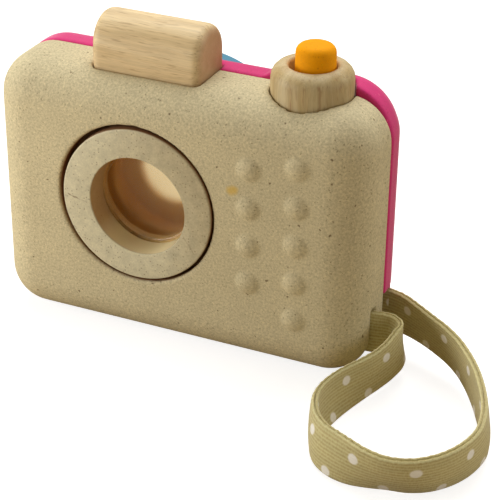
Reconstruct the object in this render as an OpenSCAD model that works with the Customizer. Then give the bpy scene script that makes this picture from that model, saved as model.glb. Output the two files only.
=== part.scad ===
// Wooden toy camera: two moulded halves, a turning prism lens, a sprung shutter button
// and a wrist strap. Millimetres, +Z up, the lens looks along -Y, origin on the base.

/* [Body] */
// Width of the body, side to side
body_w = 128; // [122:1:150]
// Height of the body, base to top
body_h = 90; // [88:1:110]
// Depth of the front half, front face to seam
front_d = 23.3; // [22.5:0.1:30]
// Depth of the back half, seam to back face
back_d = 13.7; // [13:0.1:20]
// Radius of the body's corners seen from the front
corner_r = 14; // [13.6:0.1:18]
// Radius of the rounding round the front face
edge_r = 13.5; // [9:0.5:13.5]
// Radius of the rounding round the back face
back_edge_r = 8.5; // [5:0.5:10]
// Depth of the small chamfer along each side of the seam
seam_chamfer = 0.5; // [0.2:0.1:1]
// Height of the shoulder behind the button collar
shoulder_h = 3.1; // [1.5:0.1:5]
// Radius of the shoulder's corners
shoulder_r = 17; // [14:0.5:20]

/* [Domes] */
// Radius of a dome where it meets the face
dome_r = 4; // [2.5:0.1:5]
// Height of a dome over the face
dome_h = 1.4; // [0.6:0.1:2]
// Distance between the domes of one column
dome_pitch = 13; // [11:0.5:14]
// Distance between the two columns
dome_columns_gap = 15.8; // [12:0.1:18]
// Distance from the right side to the outer column
dome_inset = 21.5; // [19:0.5:24]
// Distance from the top to the first dome of the outer column
dome_drop = 17; // [15:0.5:20]
// How far the inner column sits below the outer one
dome_stagger = 3.5; // [0:0.5:6]
// Number of domes in the outer column, the inner one has one less
dome_rows = 5; // [3:1:5]

/* [Lens] */
// Sideways place of the lens axis
lens_x = -12; // [-16:0.5:-8]
// Distance from the body's top to the lens axis
lens_drop = 40.8; // [40.4:0.1:46]
// Radius of the lens ring's face
ring_r = 25.6; // [24.6:0.1:26.4]
// Show gap round the lens ring
ring_gap = 1.4; // [0.8:0.1:2]
// Width of the lens ring's face
ring_face_w = 9; // [8:0.1:11]
// How far the lens ring stands out of the front face
ring_proud = 0.8; // [0.4:0.1:2]
// Rounding of the lens ring's edges
ring_edge_r = 1.2; // [0.5:0.1:2]
// Thickness of the front wall that traps the lens ring
front_wall = 5.8; // [5:0.1:7]
// Depth of the lens below the front face
lens_sunk = 8; // [7:0.1:9]
// Thickness of the flat part of the lens
lens_t = 2.5; // [2:0.1:3.5]
// Height of the faceted part of the lens
facet_h = 3; // [1.5:0.1:3.5]
// Number of facets of the lens
facets = 6; // [4:1:8]

/* [Eyepiece] */
// Outer radius of the eyecup
eyecup_r = 34; // [30:0.5:36]
// How far the eyecup stands out of the back
eyecup_proud = 17; // [8:0.5:20]
// Radius of the peep hole
peep_r = 12.5; // [9:0.1:14]
// Rounding of the eyecup's outer rim
eyecup_edge_r = 3; // [1:0.5:4]
// Wall of the eyecup at its rim
eyecup_rim = 4; // [3.5:0.5:6]

/* [Viewfinder] */
// Length of the viewfinder block
block_l = 37.5; // [30:0.5:42]
// How far the viewfinder block sits to the left of the lens axis
block_shift = 0.8; // [0:0.1:3]
// Depth of the viewfinder block, front to back
block_d = 19.2; // [14:0.1:19.6]
// Distance from the front face to the viewfinder block
block_setback = 9.3; // [8.5:0.1:11]
// Height of the viewfinder block over the body
block_rise = 15.6; // [12:0.1:24]
// Depth of the pocket that holds the viewfinder block
block_sink = 6; // [4:0.1:6.5]
// Rounding of the viewfinder block's ends
block_end_r = 3; // [1:0.1:4.5]

/* [Button] */
// Distance from the right side to the collar's axis
collar_inset = 25.4; // [24:0.1:30]
// Outer radius of the collar
collar_r = 12.8; // [12.4:0.1:13.4]
// Height of the collar over the body
collar_rise = 8.6; // [6:0.1:14]
// Depth of the pocket that holds the collar
collar_sink = 16; // [16:0.5:20]
// Distance from the front face to the collar's axis
collar_setback = 20.4; // [19.8:0.1:21]
// Rounding of the collar's outer top edge
collar_edge_r = 4.2; // [2:0.1:4.4]
// Radius of the hole in the collar's top
collar_hole_r = 7.4; // [7.3:0.1:7.8]
// Radius of the shutter button
button_r = 6.4; // [5.2:0.1:6.4]
// Height of the pressed shutter button over the collar
button_pressed_rise = 2.4; // [2:0.1:6]
// Travel of the shutter button
button_travel = 4; // [2:0.5:4]
// How far the loose button sits to the right of the collar's axis
button_shift = 0.8; // [0:0.1:0.8]
// Turns of the button spring
spring_turns = 5; // [3:1:5]
// Wire diameter of the button spring
spring_wire = 0.9; // [0.6:0.1:0.9]

/* [Strap] */
// Width of the strap tape
strap_w = 14.8; // [12:0.1:15.4]
// Thickness of the folded strap tape
strap_t = 2.2; // [1.4:0.1:2.4]

/* [Hidden] */
// Overrun of cuts past a face
over = 1;
// Clearance of a running fit
run_gap = 0.05;
// Clearance of a glued fit
glue_gap = 0.05;
// Clearance of a loose fit
slip_gap = 0.3;
$fn = 96;

body_d = front_d + back_d;
front_y = -body_d / 2;
seam_y = front_y + front_d;
back_y = body_d / 2;
mid_z = body_h / 2;

lens_z = body_h - lens_drop;
ring_bore_r = ring_r - ring_face_w;
hole_r = ring_r + ring_gap;
flange_lip = 1.4;
flange_r = hole_r + flange_lip;
flange_t = 3;
flange_y = front_y + front_wall + slip_gap;
hub_step = 3.6;
hub_r = ring_r - hub_step;
hub_end = 15;
hub_y = front_y + hub_end;
hub_wall = 2.6;
seat_r = hub_r - hub_wall;
lens_y = front_y + lens_sunk;
retainer_w = 2.8;
retainer_r = seat_r - retainer_w;
facet_clear = 0.6;
facet_r = retainer_r - facet_clear;
facet_run = 4.5;
facet_top_r = facet_r - facet_run;
keeper_y = flange_y + flange_t + slip_gap;
keeper_t = 4;
keeper_lip = 2.4;
keeper_r = flange_r + keeper_lip;
hub_clear = 0.4;
tunnel_r = 18;

spigot_r = 22;
spigot_l = 8;
spigot_y = back_y - spigot_l;
peep_l = 2;

block_x = lens_x - block_shift;
block_y = front_y + block_setback + block_d / 2;
block_z = body_h - block_sink;
block_top_r = block_d / 2;
block_axis_z = body_h + block_rise - block_top_r;
block_dowel_r = 2.5;
block_dowel_l = 12;
block_dowel_sink = 4;
block_dowel_share = 0.75;
block_dowel_gap = block_l * block_dowel_share;

collar_x = body_w / 2 - collar_inset;
collar_y = front_y + collar_setback;
collar_z = body_h - collar_sink;
collar_top = body_h + collar_rise;
collar_flat = collar_r - collar_edge_r - collar_hole_r;
collar_lip_share = 0.9;
collar_lip_r = collar_flat * collar_lip_share;
counter_r = 9.6;
counter_drop = 1;
counter_top = body_h - counter_drop;
button_x = collar_x + button_shift;
button_top = collar_top + button_pressed_rise + button_travel;
button_edge_r = 2;
button_flange_r = 8.4;
button_flange_t = 3;
button_flange_z = counter_top - button_flange_t - run_gap;
pilot_r = 3.6;
pilot_h = 1.5;
seat_disc_r = 8;
seat_disc_t = 2;
spring_r = 5;
spring_low = collar_z + seat_disc_t + spring_wire / 2 + run_gap;
spring_high = button_flange_z - spring_wire / 2 - run_gap;
spring_steps = 8;
spring_sides = 6;

shoulder_side_step = 0.3;
shoulder_half_w = collar_inset - shoulder_side_step;
shoulder_depth_z = 50;

dowel_r = 3;
dowel_front_l = 8;
dowel_back_l = 7;
dowel_x_shares = [-0.41, -0.41, 0.43, 0.22];
dowel_z_shares = [0.14, 0.86, 0.62, 0.14];

slit_before_seam = 10.7;
slit_y = seam_y - slit_before_seam;
slit_t = 3.6;
slit_low = 6;
slit_high = 23;
chamber_in = 14;
bar_t = 7;
notch_t = 8.2;

// Strap route: distance from the body's side, distance behind the seam, height of the tape's
// lower edge, and how far its top edge leans outwards, in degrees
strap_route = [
    [0, 6.3, 7, 0], [5.5, 5.4, 6.8, -4], [11.5, 2.8, 6.3, -9], [17.5, -0.3, 5.6, -11],
    [23, -3.4, 4.8, -10], [28, -7.4, 4, -8], [32, -11.8, 3.3, -6], [35.8, -17, 2.7, -4],
    [39.2, -22.6, 2.1, -3], [42.2, -28.6, 1.6, -3], [44.8, -34.8, 1.1, -4], [46.4, -41.2, 0.7, -4],
    [46.2, -47.6, 0.4, 2], [44.6, -53.6, 0.3, 6], [41.8, -59.2, 0.3, 10], [37.8, -64, 0.3, 14],
    [32.6, -67.4, 0.3, 18], [26.4, -68.8, 0.3, 19], [20, -69, 0.3, 9], [14.5, -68.2, 0.3, -4],
    [9.6, -66.6, 0.3, -10], [5, -64, 0.3, -8], [1.6, -60.2, 0.3, -4], [-0.6, -55.6, 0.4, 1],
    [-1.8, -50, 0.5, 7], [-1.6, -44, 0.6, 11], [-0.4, -38, 0.7, 10], [1.6, -32.2, 0.9, 6],
    [4, -26.8, 1.3, 1], [6.5, -21.4, 2, -1], [8.6, -16.4, 3.3, 1], [9.6, -12, 4.8, 6],
    [8.7, -8.6, 6.1, 8], [5, -7.6, 6.8, 4], [0, -8.9, 7, 0], [-5.5, -9, 7, 0],
    [-9.5, -7, 7, 0], [-11, -2.5, 7, 0], [-9.5, 2.8, 7, 0], [-5.5, 5.8, 7, 0]
];
strap_steps = 2;

// Half section of a moulded half: rounded at its face, chamfered at its seam
module half_profile(reach, depth, round_r) {
    difference() {
        union() {
            square([reach - round_r, depth]);
            translate([reach - round_r, round_r]) square([round_r, depth - round_r]);
            translate([reach - round_r, round_r]) intersection() {
                circle(round_r);
                translate([0, -round_r]) square(round_r);
            }
        }
        translate([reach, depth]) rotate(45) square(seam_chamfer * sqrt(2), center = true);
    }
}

// A rounded slab, its face on the XY plane and its seam at z = depth
module soft_slab(w, h, corner, depth, round_r) {
    run_x = w - 2 * corner;
    run_y = h - 2 * corner;
    for (side = [0, 1]) {
        mirror([0, side, 0]) translate([-run_x / 2, 0, 0]) rotate([90, 0, 90])
            linear_extrude(run_x) half_profile(h / 2, depth, round_r);
        mirror([side, 0, 0]) translate([run_x / 2, run_y / 2, 0]) rotate([90, 0, 0])
            linear_extrude(run_y) half_profile(corner, depth, round_r);
    }
    for (side = [0, 1], end = [0, 1]) {
        mirror([side, 0, 0]) mirror([0, end, 0]) translate([run_x / 2, run_y / 2, 0])
            rotate_extrude(angle = 90) half_profile(corner, depth, round_r);
    }
}

// A round bar or hole along +Y
module rod_y(r, from_y, to_y) {
    translate([0, from_y, 0]) rotate([-90, 0, 0]) cylinder(r = r, h = to_y - from_y);
}

module at_lens() {
    translate([lens_x, 0, lens_z]) children();
}

// Outline of the viewfinder block seen from above
module block_plan(grow) {
    l = block_l + 2 * grow;
    d = block_d + 2 * grow;
    r = block_end_r + grow;
    square([l - 2 * r, d], center = true);
    square([l, d - 2 * r], center = true);
    for (x = [-1, 1], y = [-1, 1]) {
        translate([x * (l / 2 - r), y * (d / 2 - r)]) circle(r);
    }
}

// Pockets in the top for the viewfinder block and the collar
module top_pockets() {
    translate([block_x, block_y, block_z])
        linear_extrude(body_h + shoulder_h - block_z + over) block_plan(slip_gap);
    translate([collar_x, collar_y, collar_z])
        cylinder(r = collar_r + slip_gap, h = body_h + shoulder_h - collar_z + over);
}

module block_dowel_places() {
    for (side = [-1, 1]) {
        translate([block_x + side * block_dowel_gap / 2, block_y, block_z - block_dowel_sink])
            children();
    }
}

module shell_dowel_places() {
    for (i = [0 : len(dowel_x_shares) - 1]) {
        translate([dowel_x_shares[i] * body_w, 0, dowel_z_shares[i] * body_h]) children();
    }
}

module shell_dowel_holes() {
    shell_dowel_places() rod_y(dowel_r + glue_gap, seam_y - dowel_front_l, seam_y + dowel_back_l);
}

// The way of the strap: a slit in the front half, a chamber behind the bar, a notch in the back half
module strap_way() {
    side_x = body_w / 2;
    tall = slit_high - slit_low;
    translate([side_x - chamber_in, slit_y, slit_low]) cube([chamber_in + over, slit_t, tall]);
    translate([side_x - chamber_in, slit_y, slit_low])
        cube([chamber_in - bar_t, seam_y - slit_y + over, tall]);
    translate([side_x - chamber_in, seam_y, slit_low]) cube([chamber_in + over, notch_t, tall]);
}

module domes() {
    ball_r = (dome_r * dome_r + dome_h * dome_h) / (2 * dome_h);
    for (column = [0, 1]) {
        x = body_w / 2 - dome_inset - column * dome_columns_gap;
        top = body_h - dome_drop - column * dome_stagger;
        for (row = [0 : dome_rows - 1 - column]) {
            translate([x, front_y + ball_r - dome_h, top - row * dome_pitch]) sphere(ball_r);
        }
    }
}

module front_shell() color("BurlyWood") difference() {
    union() {
        translate([0, front_y, mid_z]) rotate([-90, 0, 0])
            soft_slab(body_w, body_h, corner_r, front_d, edge_r);
        domes();
    }
    at_lens() {
        rod_y(hole_r, front_y - over, flange_y);
        rod_y(flange_r + run_gap, front_y + front_wall, keeper_y);
        rod_y(keeper_r + glue_gap, keeper_y, seam_y + over);
    }
    top_pockets();
    block_dowel_places() cylinder(r = block_dowel_r + glue_gap, h = block_dowel_l);
    shell_dowel_holes();
    strap_way();
}

module back_shell() color("DeepPink") difference() {
    translate([0, back_y, 0]) rotate([90, 0, 0]) {
        translate([0, mid_z, 0]) soft_slab(body_w, body_h, corner_r, back_d, back_edge_r);
        translate([collar_x, body_h + shoulder_h - shoulder_depth_z / 2, 0])
            soft_slab(2 * shoulder_half_w, shoulder_depth_z, shoulder_r, back_d, back_edge_r);
    }
    at_lens() {
        rod_y(tunnel_r, seam_y - over, spigot_y);
        rod_y(spigot_r + glue_gap, spigot_y, back_y + over);
    }
    top_pockets();
    shell_dowel_holes();
    strap_way();
}

module viewfinder_block() color("Wheat") difference() {
    translate([block_x, block_y, 0]) {
        translate([0, 0, block_z]) linear_extrude(block_axis_z - block_z) block_plan(0);
        translate([0, 0, block_axis_z]) rotate([0, 90, 0]) rotate([0, 0, 90])
            rotate_extrude(angle = 180) intersection() {
                rotate(90) block_plan(0);
                translate([0, -block_l / 2]) square([block_top_r, block_l]);
            }
    }
    block_dowel_places() cylinder(r = block_dowel_r + glue_gap, h = block_dowel_l);
}

module block_dowels() color("Peru") block_dowel_places()
    translate([0, 0, glue_gap]) cylinder(r = block_dowel_r, h = block_dowel_l - 2 * glue_gap);

// Section of the collar wall: round outer shoulder, softened lip at the hole
module collar_section() {
    wall = collar_r - collar_hole_r;
    tall = collar_top - collar_z;
    difference() {
        translate([collar_hole_r, collar_z]) {
            square([wall, tall - collar_edge_r]);
            translate([collar_lip_r, 0]) square([collar_flat - collar_lip_r, tall]);
            square([collar_lip_r, tall - collar_lip_r]);
            translate([collar_flat, tall - collar_edge_r]) intersection() {
                circle(collar_edge_r);
                square(collar_edge_r);
            }
            translate([collar_lip_r, tall - collar_lip_r]) intersection() {
                circle(collar_lip_r);
                translate([-collar_lip_r, 0]) square(collar_lip_r);
            }
        }
        translate([0, collar_z - over]) square([counter_r, counter_top - collar_z + over]);
    }
}

module button_collar() color("Tan") translate([collar_x, collar_y, 0]) rotate_extrude() collar_section();

// Section of the button: rounded top, retaining flange, spring pilot
module button_section() {
    square_h = button_top - button_edge_r - button_flange_z;
    translate([0, button_flange_z]) square([button_r, square_h]);
    translate([0, button_flange_z]) square([button_r - button_edge_r, button_top - button_flange_z]);
    translate([button_r - button_edge_r, button_top - button_edge_r]) intersection() {
        circle(button_edge_r);
        square(button_edge_r);
    }
    translate([0, button_flange_z]) square([button_flange_r, button_flange_t]);
    translate([0, button_flange_z - pilot_h]) square([pilot_r, pilot_h + run_gap]);
}

module shutter_button() color("Orange")
    translate([button_x, collar_y, 0]) rotate_extrude() button_section();

// Faces of a tube of rings, closed by end caps or joined end to end
function tube_sides(rings, sides, looped) = [
    for (i = [0 : rings - (looped ? 1 : 2)], k = [0 : sides - 1], half = [0, 1])
        let (a = i * sides, b = (i + 1) % rings * sides, n = (k + 1) % sides)
            half == 0 ? [a + k, a + n, b + k] : [a + n, b + n, b + k]
];
function tube_caps(rings, sides) = [
    [for (k = [sides - 1 : -1 : 0]) k],
    [for (k = [0 : sides - 1]) (rings - 1) * sides + k]
];

module button_spring() color("Silver") translate([button_x, collar_y, 0]) {
    rings = spring_turns * spring_steps + 1;
    wire_r = spring_wire / 2;
    points = [
        for (i = [0 : rings - 1], k = [0 : spring_sides - 1])
            let (turn = 360 * i / spring_steps, around = 360 * k / spring_sides,
                z = spring_low + (spring_high - spring_low) * i / (rings - 1),
                r = spring_r + wire_r * cos(around))
            [r * cos(turn), r * sin(turn), z - wire_r * sin(around)]
    ];
    polyhedron(points, concat(tube_sides(rings, spring_sides, false), tube_caps(rings, spring_sides)));
}

module spring_seat() color("Peru") translate([button_x, collar_y, collar_z]) {
    cylinder(r = seat_disc_r, h = seat_disc_t);
    cylinder(r = pilot_r, h = seat_disc_t + pilot_h);
}

// Section of the lens ring: rounded face, trapped flange, hub with a seat for the lens
module ring_section() {
    ring_front = front_y - ring_proud;
    difference() {
        union() {
            translate([ring_bore_r, ring_front + ring_edge_r])
                square([ring_face_w, flange_y - ring_front - ring_edge_r + flange_t]);
            translate([ring_bore_r + ring_edge_r, ring_front])
                square([ring_face_w - 2 * ring_edge_r, ring_edge_r + over]);
            for (x = [ring_bore_r + ring_edge_r, ring_r - ring_edge_r]) {
                translate([x, ring_front + ring_edge_r]) circle(ring_edge_r);
            }
            translate([ring_bore_r, flange_y]) square([flange_r - ring_bore_r, flange_t]);
            translate([ring_bore_r, flange_y]) square([hub_r - ring_bore_r, hub_y - flange_y]);
        }
        translate([0, lens_y]) square([seat_r + glue_gap, hub_y - lens_y + over]);
    }
}

// Turns a section of radius and depth about the lens axis
module turned() {
    at_lens() rotate([-90, 0, 0]) rotate_extrude() children();
}

module lens_ring() color("BlanchedAlmond") turned() ring_section();

module faceted_lens() color("LightCyan", 0.5) at_lens() {
    rod_y(seat_r, lens_y, lens_y + lens_t);
    translate([0, lens_y + lens_t, 0]) rotate([-90, 0, 0])
        cylinder(r1 = facet_r, r2 = facet_top_r, h = facet_h, $fn = facets);
}

module lens_retainer() color("Sienna") at_lens() difference() {
    rod_y(seat_r, lens_y + lens_t, hub_y);
    rod_y(retainer_r, lens_y + lens_t - over, hub_y + over);
}

module ring_keeper() color("Sienna") at_lens() difference() {
    rod_y(keeper_r, keeper_y, keeper_y + keeper_t);
    rod_y(hub_r + hub_clear, keeper_y - over, keeper_y + keeper_t + over);
}

// Section of the eyecup: spigot, flared cup and rounded outer rim
module eyecup_section() {
    rim_y = back_y + eyecup_proud;
    rim_in = eyecup_r - eyecup_rim;
    difference() {
        union() {
            translate([0, spigot_y]) square([spigot_r, spigot_l + over]);
            translate([0, back_y]) square([eyecup_r, eyecup_proud - eyecup_edge_r]);
            translate([0, back_y]) square([eyecup_r - eyecup_edge_r, eyecup_proud]);
            translate([eyecup_r - eyecup_edge_r, rim_y - eyecup_edge_r]) intersection() {
                circle(eyecup_edge_r);
                square(eyecup_edge_r);
            }
        }
        polygon([[0, spigot_y - over], [peep_r, spigot_y - over], [peep_r, spigot_y + peep_l],
            [rim_in, rim_y], [rim_in, rim_y + over], [0, rim_y + over]]);
    }
}

module eyepiece() color("SteelBlue") turned() eyecup_section();

module shell_dowels() color("Peru")
    shell_dowel_places() rod_y(dowel_r, seam_y - dowel_front_l + glue_gap, seam_y + dowel_back_l - glue_gap);

// A smooth curve through the strap's points
function wrap(i) = (i + len(strap_route)) % len(strap_route);
function smooth(a, b, c, d, t) =
    ((2 * b) + (c - a) * t + (2 * a - 5 * b + 4 * c - d) * t * t + (3 * b - a - 3 * c + d) * t * t * t) / 2;
function strap_at(i, t) = smooth(strap_route[wrap(i - 1)], strap_route[i],
    strap_route[wrap(i + 1)], strap_route[wrap(i + 2)], t);
function strap_line() = [
    for (i = [0 : len(strap_route) - 1], s = [0 : strap_steps - 1]) strap_at(i, s / strap_steps)
];
function unit(v) = v / norm(v);

// Section of the tape: across its thickness and along its width, in half sizes
function tape_section() = let (t = strap_t / 2, w = strap_w / 2) [
    [t, w - t], [t / 2, w], [-t / 2, w], [-t, w - t], [-t, t - w], [-t / 2, -w], [t / 2, -w], [t, t - w]
];

module wrist_strap() color("DarkKhaki") {
    line = strap_line();
    count = len(line);
    section = tape_section();
    points = [
        for (i = [0 : count - 1])
            let (step = line[(i + 1) % count] - line[(i + count - 1) % count],
                side = unit([-step[1], step[0], 0]),
                rise = unit(cross([step[0], step[1], step[2]], side)),
                lean = line[i][3],
                up = rise * cos(lean) + side * sin(lean),
                across = side * cos(lean) - rise * sin(lean),
                middle = [line[i][0] + body_w / 2, line[i][1] + seam_y, line[i][2] + strap_w / 2])
            for (p = section) middle + across * p[0] + up * p[1]
    ];
    polyhedron(points, tube_sides(count, len(section), true));
}

front_shell();
back_shell();
viewfinder_block();
block_dowels();
button_collar();
shutter_button();
button_spring();
spring_seat();
lens_ring();
faceted_lens();
lens_retainer();
ring_keeper();
eyepiece();
shell_dowels();
wrist_strap();
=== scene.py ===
"""Looks of a wooden toy camera: moulded halves, a turning prism lens, a sprung button and a wrist strap.

Metres, +Z up, the lens looks along -Y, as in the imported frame.
"""

import math

import bmesh
import bpy
from bpy.props import FloatProperty, FloatVectorProperty, IntProperty, PointerProperty
from mathutils import Matrix, Vector


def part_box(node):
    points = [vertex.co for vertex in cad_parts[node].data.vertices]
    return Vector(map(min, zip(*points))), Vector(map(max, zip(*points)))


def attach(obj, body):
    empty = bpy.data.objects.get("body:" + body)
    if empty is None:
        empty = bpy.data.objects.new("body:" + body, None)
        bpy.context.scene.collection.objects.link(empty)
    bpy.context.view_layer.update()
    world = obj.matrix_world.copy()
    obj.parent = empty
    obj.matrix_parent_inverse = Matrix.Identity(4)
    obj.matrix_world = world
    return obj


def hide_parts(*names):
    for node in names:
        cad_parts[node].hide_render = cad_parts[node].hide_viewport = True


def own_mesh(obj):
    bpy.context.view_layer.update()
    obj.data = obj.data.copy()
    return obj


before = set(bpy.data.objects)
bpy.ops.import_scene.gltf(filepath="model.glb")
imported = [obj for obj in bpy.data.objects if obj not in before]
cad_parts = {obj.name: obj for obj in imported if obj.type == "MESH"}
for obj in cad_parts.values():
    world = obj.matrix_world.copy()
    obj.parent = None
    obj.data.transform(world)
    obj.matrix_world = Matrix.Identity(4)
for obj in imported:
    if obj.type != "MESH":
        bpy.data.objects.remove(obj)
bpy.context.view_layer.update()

bl_info = {
    "name": "Wooden Toy Camera",
    "version": (1, 0, 0),
    "blender": (4, 5, 0),
    "location": "View3D > Sidebar > Toy Camera",
    "description": "Dresses the parts of a wooden toy camera with worn edges, wood, dye and woven tape",
    "category": "Object",
}

MM = 0.001
FULL_TURN = 2 * math.pi
SHARP_ANGLE = math.radians(38)
LENS_SHARP_ANGLE = math.radians(12)
UP = Vector((0, 0, 1))
BACKWARD = Vector((0, 1, 0))
WHITE = (1, 1, 1, 1)

# Points nearer than this are one point, smaller faces (in square metres) are none, and faces are picked
# by their place with this margin
WELD = MM / 1000
SLIVER = 1e-14
MARGIN = MM

# Sides and steps of the small round forms
FLOOR_SIDES = 64
COIL_STEPS = 24
WIRE_SIDES = 10
THREAD_SIDES = 8
STITCH_RINGS = 7
LIP_STEPS = 6
FOLD_STEPS = 5
RIB_STEPS = 4
FACETS = 6

# The stage: the sensor's width in millimetres, the nearest thing seen, and the floor's place and tones
SENSOR_WIDTH = 36
NEAREST = 10 * MM
FLOOR_DROP = 0.1 * MM
FLOOR_GLOW = 0.8
FLOOR_GREY = (0.5, 0.5, 0.5, 1)

# Crumbs in wood: the smallest as a share of the largest, the share that is solid, and the place of the
# pale ones against the dark
SMALLEST_CRUMB = 0.3
CRUMB_CORE = 0.55
CHIP_SHIFT = (31, 17, 53)

# The tape's edges: half the groove between them, their flattening, the share of the tape's height where
# they begin to wander, the two waves of that in radians for each millimetre, and the bluntness of a
# stitch's ends
GROOVE = 0.06 * MM
LIP_FLATTENED = 0.92
LIP_START = 0.75
WANDER_WAVES = (2.1, 3.4)
BLUNT_STITCH = 0.04

# Marks in millimetres: the front's stain from (x, z) to (x, z), the collar's streaks as (x, y) from its
# axis, width and strength, and the ring's cracks from (x, z) to (x, z) off its axis, and strength
STAIN = ((20.9, 61.2), (22, 61.8))
STAIN_WIDTH = 1.9
STAIN_DEPTH = 1.4
COLLAR_STREAKS = (((6.5, -11), 0.7, 0.5), ((-1.9, -12.6), 0.3, 0.4))
RING_CRACKS = (((-23.5, -0.5), (-17.2, -2.2), 0.8), ((17.5, -7), (20.5, -12.5), 0.35))
CRACK_WIDTH = 0.3

# The lens ring's wood: the tree's heart as (x, z) in millimetres off the ring's axis, and the direction
# in which the ring has stayed widest
HEART = (62, 30)
WIDEST = math.radians(38)

# The wrist strap's route, as in the part's source, in millimetres: distance from the body's side,
# distance behind the seam, height of the tape's lower edge, and outward lean of its top in degrees
STRAP_ROUTE = [
    (0, 6.3, 7, 0), (5.5, 5.4, 6.8, -4), (11.5, 2.8, 6.3, -9), (17.5, -0.3, 5.6, -11),
    (23, -3.4, 4.8, -10), (28, -7.4, 4, -8), (32, -11.8, 3.3, -6), (35.8, -17, 2.7, -4),
    (39.2, -22.6, 2.1, -3), (42.2, -28.6, 1.6, -3), (44.8, -34.8, 1.1, -4), (46.4, -41.2, 0.7, -4),
    (46.2, -47.6, 0.4, 2), (44.6, -53.6, 0.3, 6), (41.8, -59.2, 0.3, 10), (37.8, -64, 0.3, 14),
    (32.6, -67.4, 0.3, 18), (26.4, -68.8, 0.3, 19), (20, -69, 0.3, 9), (14.5, -68.2, 0.3, -4),
    (9.6, -66.6, 0.3, -10), (5, -64, 0.3, -8), (1.6, -60.2, 0.3, -4), (-0.6, -55.6, 0.4, 1),
    (-1.8, -50, 0.5, 7), (-1.6, -44, 0.6, 11), (-0.4, -38, 0.7, 10), (1.6, -32.2, 0.9, 6),
    (4, -26.8, 1.3, 1), (6.5, -21.4, 2, -1), (8.6, -16.4, 3.3, 1), (9.6, -12, 4.8, 6),
    (8.7, -8.6, 6.1, 8), (5, -7.6, 6.8, 4), (0, -8.9, 7, 0), (-5.5, -9, 7, 0),
    (-9.5, -7, 7, 0), (-11, -2.5, 7, 0), (-9.5, 2.8, 7, 0), (-5.5, 5.8, 7, 0),
]


def linear(level):
    """Linear light of one 8-bit colour level."""
    part = level / 255
    return part / 12.92 if part <= 0.04045 else ((part + 0.055) / 1.055) ** 2.4


def length(name, description, millimetres):
    """A size in metres, given in millimetres."""
    return FloatProperty(
        name=name, description=description, default=millimetres * MM,
        min=0, precision=5, subtype="DISTANCE", unit="LENGTH")


def colour(name, description, red, green, blue):
    """A colour given by its 8-bit levels."""
    return FloatVectorProperty(
        name=name, description=description, default=(linear(red), linear(green), linear(blue)),
        size=3, min=0, max=1, subtype="COLOR")


def share(name, description, default):
    """A plain factor."""
    return FloatProperty(name=name, description=description, default=default, min=0, subtype="FACTOR")


def number(name, description, default):
    """A whole number of steps, passes or turns."""
    return IntProperty(name=name, description=description, default=default, min=1)


def bearing(name, description, degrees):
    """An angle given in degrees."""
    return FloatProperty(name=name, description=description, default=math.radians(degrees), subtype="ANGLE")


def lamp_power(name, description, watts):
    """The power of a soft light."""
    return FloatProperty(name=name, description=description, default=watts, min=0, unit="POWER")


def place(name, description, *millimetres):
    """A point in metres, given in millimetres."""
    return FloatVectorProperty(
        name=name, description=description, default=[x * MM for x in millimetres],
        size=3, subtype="TRANSLATION", unit="LENGTH")


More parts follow.
